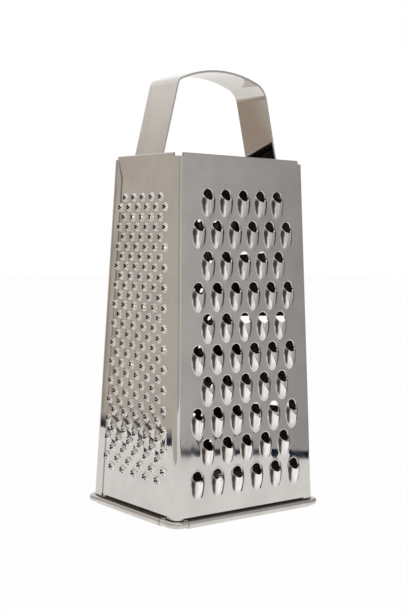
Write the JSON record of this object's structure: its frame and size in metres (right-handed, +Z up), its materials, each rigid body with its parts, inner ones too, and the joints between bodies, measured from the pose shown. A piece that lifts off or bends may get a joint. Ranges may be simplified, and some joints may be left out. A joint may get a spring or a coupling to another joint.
{
  "type": "box grater",
  "caption": "Four-sided tapered box grater in polished sheet steel, with a rolled wire rim at its foot and a bent strap handle",
  "frame": {"origin": "middle of the outline of the rolled rim, on the surface the grater stands on", "axes": "+Z up along the body to the handle; the coarse face looks along -Y, the fine face along -X, the slicing slots along +X and the small drops along +Y"},
  "size_m": [0.1048, 0.086, 0.2403],
  "materials": {
    "shell_steel": "bright polished stainless sheet, slightly wavy",
    "wire_steel": "drawn stainless wire",
    "strap_steel": "bright polished stainless strip"
  },
  "bodies": {
    "root": {"front_left_shell": "shell_steel", "back_right_shell": "shell_steel", "base_wire": "wire_steel", "handle_strap": "strap_steel"}
  },
  "joints": []
}
